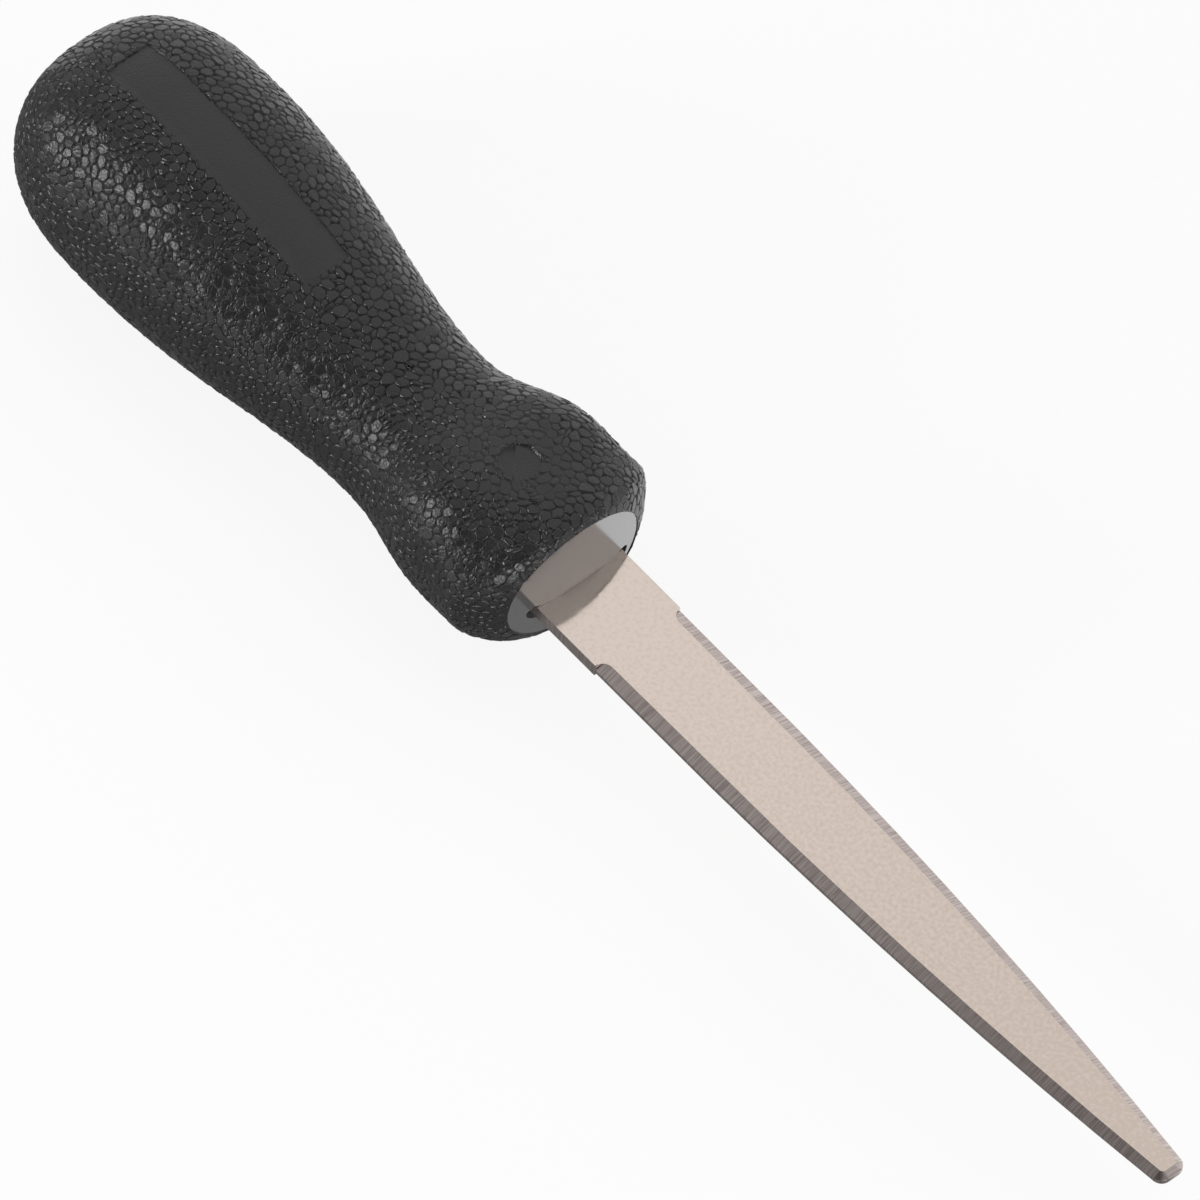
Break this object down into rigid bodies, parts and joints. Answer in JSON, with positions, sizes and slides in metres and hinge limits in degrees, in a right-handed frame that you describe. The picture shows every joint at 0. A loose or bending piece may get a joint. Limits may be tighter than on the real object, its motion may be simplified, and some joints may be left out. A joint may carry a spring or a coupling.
{
  "type": "oyster knife",
  "caption": "Oyster knife: a stiff, blunt-tipped steel blade with bevelled edges, its tang moulded into a bulbous pebble-grained plastic grip with a flared guard.",
  "frame": {"origin": "on the blade's axis at the front of the grip, where the blade comes out of it", "axes": "+X along the blade towards the tip, +Y across the blade's width, +Z square to the blade's flat side, out of the side that carries the plate"},
  "size_m": [0.1906, 0.0308, 0.0284],
  "materials": {
    "blade_steel": "satin flats, cross-ground bevels",
    "grip_plastic": "pebble-grained skin with a smooth nose, plate and spot"
  },
  "bodies": {
    "root": {"blade": "blade_steel", "handle": "grip_plastic"}
  },
  "joints": []
}
